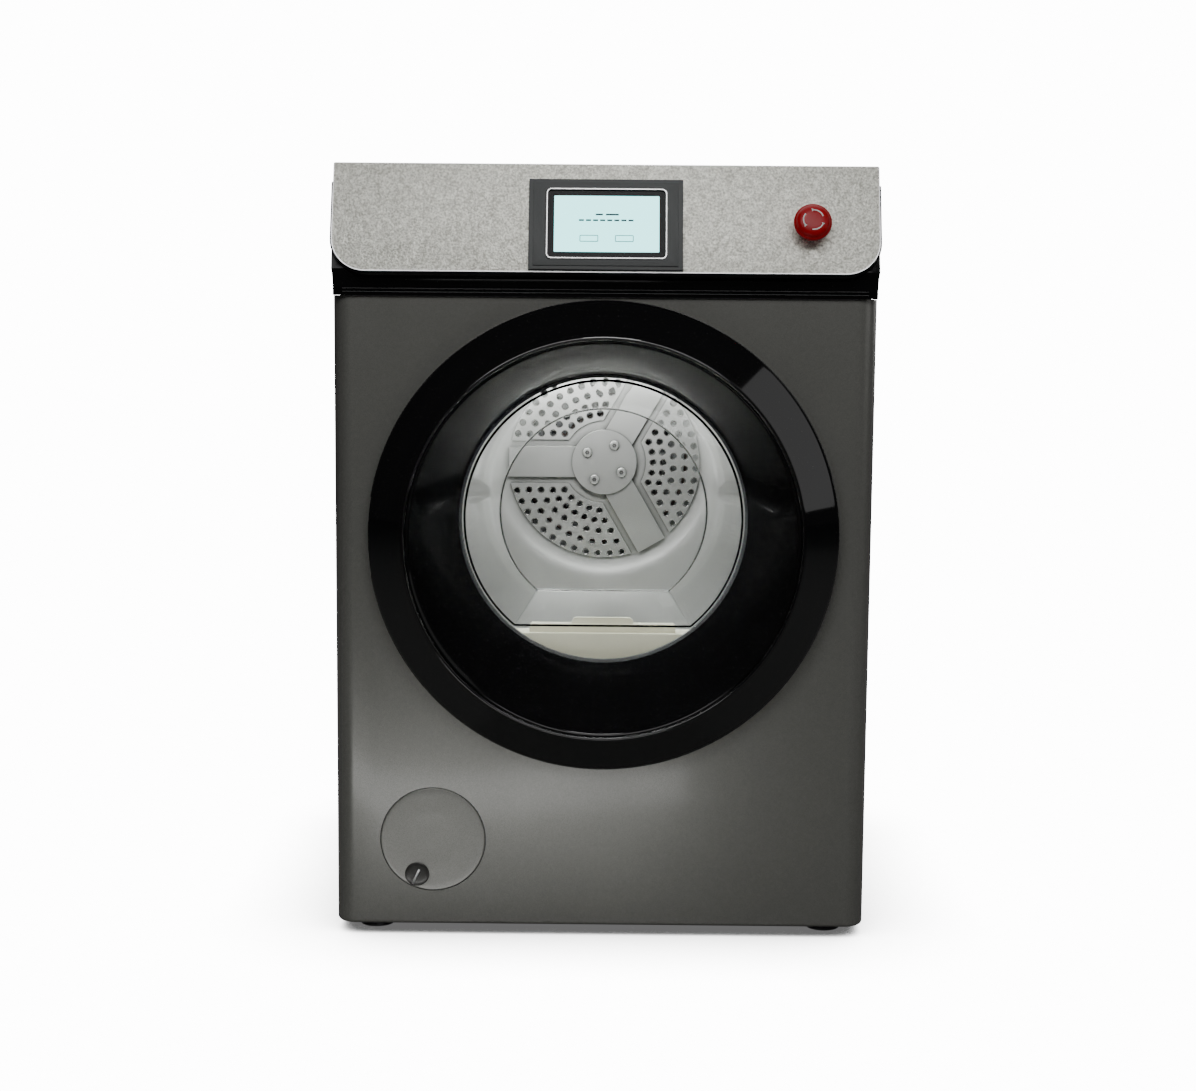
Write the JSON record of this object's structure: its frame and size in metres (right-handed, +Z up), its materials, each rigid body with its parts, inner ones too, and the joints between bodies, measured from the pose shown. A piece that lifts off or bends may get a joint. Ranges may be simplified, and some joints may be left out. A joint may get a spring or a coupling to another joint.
{
  "type": "tumble dryer",
  "caption": "Front-loading vented tumble dryer with a round glass door, a perforated drum, a leaning console with a touch display, a red stop button and a vent cap.",
  "frame": {"origin": "bottom centre of the whole machine, on the floor, halfway between the foremost point of the door and the end of the exhaust spigot", "axes": "+X to the right as one faces the door, +Y from the door to the back, +Z up"},
  "size_m": [0.595, 0.61, 0.858],
  "materials": {
    "dark_grey_enamel": "satin",
    "champagne_texture": "fine grain",
    "gloss_black": "gloss",
    "bezel_grey": "satin",
    "screen": "gloss",
    "stop_red": "gloss",
    "clear_glass": "clear",
    "black_rubber": "matte",
    "grey_moulding": "satin",
    "cream_moulding": "satin",
    "galvanised": "satin",
    "stainless": "bright",
    "machined_steel": "machined",
    "felt": "felt",
    "black_plastic": "satin",
    "motor_paint": "satin",
    "bronze": "sintered",
    "heating_alloy": "oxidised"
  },
  "bodies": {
    "cabinet": {"base_tray": "galvanised", "left_side_panel": "dark_grey_enamel", "right_side_panel": "dark_grey_enamel", "rear_panel": "galvanised", "worktop": "dark_grey_enamel", "front_panel": "dark_grey_enamel", "levelling_feet": "black_plastic", "panel_screws": "machined_steel", "console_housing": "gloss_black", "fascia_plate": "champagne_texture", "display_bezel": "bezel_grey", "display_glass": "screen", "display_module": "black_plastic", "estop_collar": "black_plastic", "estop_contact_block": "black_plastic", "hinge_leaf": "machined_steel", "door_catch": "black_plastic", "door_tunnel": "grey_moulding", "filter_housing": "cream_moulding", "lint_filter": "cream_moulding", "front_duct": "cream_moulding", "front_bulkhead": "galvanised", "drum_felt_seal": "felt", "roller_axles": "machined_steel", "shaft_bush": "bronze", "bearing_bracket": "galvanised", "heater_housing": "galvanised", "heater_element": "heating_alloy", "drive_belt": "black_rubber", "motor_housing": "motor_paint", "motor_cradle": "galvanised", "tension_spring": "machined_steel", "blower_housing": "black_plastic", "exhaust_duct": "galvanised", "vent_collar": "grey_moulding", "exhaust_spigot": "galvanised", "cable_gland": "black_plastic", "control_box": "galvanised"},
    "drum": {"drum_shell": "stainless", "drum_rear_wall": "stainless", "drum_lifters": "stainless", "drum_shaft": "machined_steel", "hub_screws": "machined_steel"},
    "motor_rotor": {"motor_rotor": "machined_steel", "motor_pulley": "black_plastic", "blower_wheel": "black_plastic"},
    "tension_arm": {"tension_arm": "galvanised"},
    "idler_pulley": {"idler_pulley": "black_plastic"},
    "front_roller_left": {"front_roller_left": "black_rubber"},
    "front_roller_right": {"front_roller_right": "black_rubber"},
    "door": {"door_ring": "gloss_black", "door_dish": "gloss_black", "door_glass": "clear_glass", "door_frame": "grey_moulding", "door_seal": "black_rubber", "hinge_arm": "machined_steel", "latch_hook": "machined_steel"},
    "estop_stem": {"estop_stem": "machined_steel"},
    "estop_head": {"estop_head": "stop_red"},
    "vent_cap": {"vent_cap": "dark_grey_enamel"}
  },
  "joints": [
    {"name": "drum_spin", "type": "hinge", "parent": "cabinet", "child": "drum", "pos_m": [0, 0.266, 0.499], "axis": [0, 1, 0], "continuous": true},
    {"name": "motor_spin", "type": "hinge", "parent": "cabinet", "child": "motor_rotor", "pos_m": [0.06, -0.074, 0.112], "axis": [0, 1, 0], "continuous": true},
    {"name": "tensioner_swing", "type": "hinge", "parent": "cabinet", "child": "tension_arm", "pos_m": [0.005, 0.055, 0.055], "axis": [0, 1, 0], "range_deg": [-3, 6], "stiffness_Nm_per_rad": 1.5, "deforming": ["tension_spring", "drive_belt"]},
    {"name": "idler_spin", "type": "hinge", "parent": "tension_arm", "child": "idler_pulley", "pos_m": [-0.048, 0.071, 0.12], "axis": [0, 1, 0], "continuous": true},
    {"name": "left_roller_spin", "type": "hinge", "parent": "cabinet", "child": "front_roller_left", "pos_m": [-0.18085, -0.15, 0.24072], "axis": [0, 1, 0], "continuous": true},
    {"name": "right_roller_spin", "type": "hinge", "parent": "cabinet", "child": "front_roller_right", "pos_m": [0.18085, -0.15, 0.24072], "axis": [0, 1, 0], "continuous": true},
    {"name": "door_hinge", "type": "hinge", "parent": "cabinet", "child": "door", "pos_m": [-0.2455, -0.274, 0.4535], "axis": [0, 0, -1], "range_deg": [0, 105]},
    {"name": "estop_press", "type": "slide", "parent": "cabinet", "child": "estop_stem", "axis": [0, 0.9511, -0.309], "range_m": [0, 0.005], "stiffness_N_per_m": 2000},
    {"name": "estop_twist", "type": "hinge", "parent": "estop_stem", "child": "estop_head", "pos_m": [0.221, -0.28405, 0.79652], "axis": [0, 0.9511, -0.309], "range_deg": [0, 35], "stiffness_Nm_per_rad": 0.05},
    {"name": "vent_cap_pull", "type": "slide", "parent": "cabinet", "child": "vent_cap", "axis": [0, -1, 0], "range_m": [0, 0.06]}
  ],
  "couplings": [
    {"joint": "motor_spin", "follows": "drum_spin", "ratio": 23.097},
    {"joint": "idler_spin", "follows": "drum_spin", "ratio": 13.383},
    {"joint": "left_roller_spin", "follows": "drum_spin", "ratio": -9.5},
    {"joint": "right_roller_spin", "follows": "drum_spin", "ratio": -9.5}
  ]
}
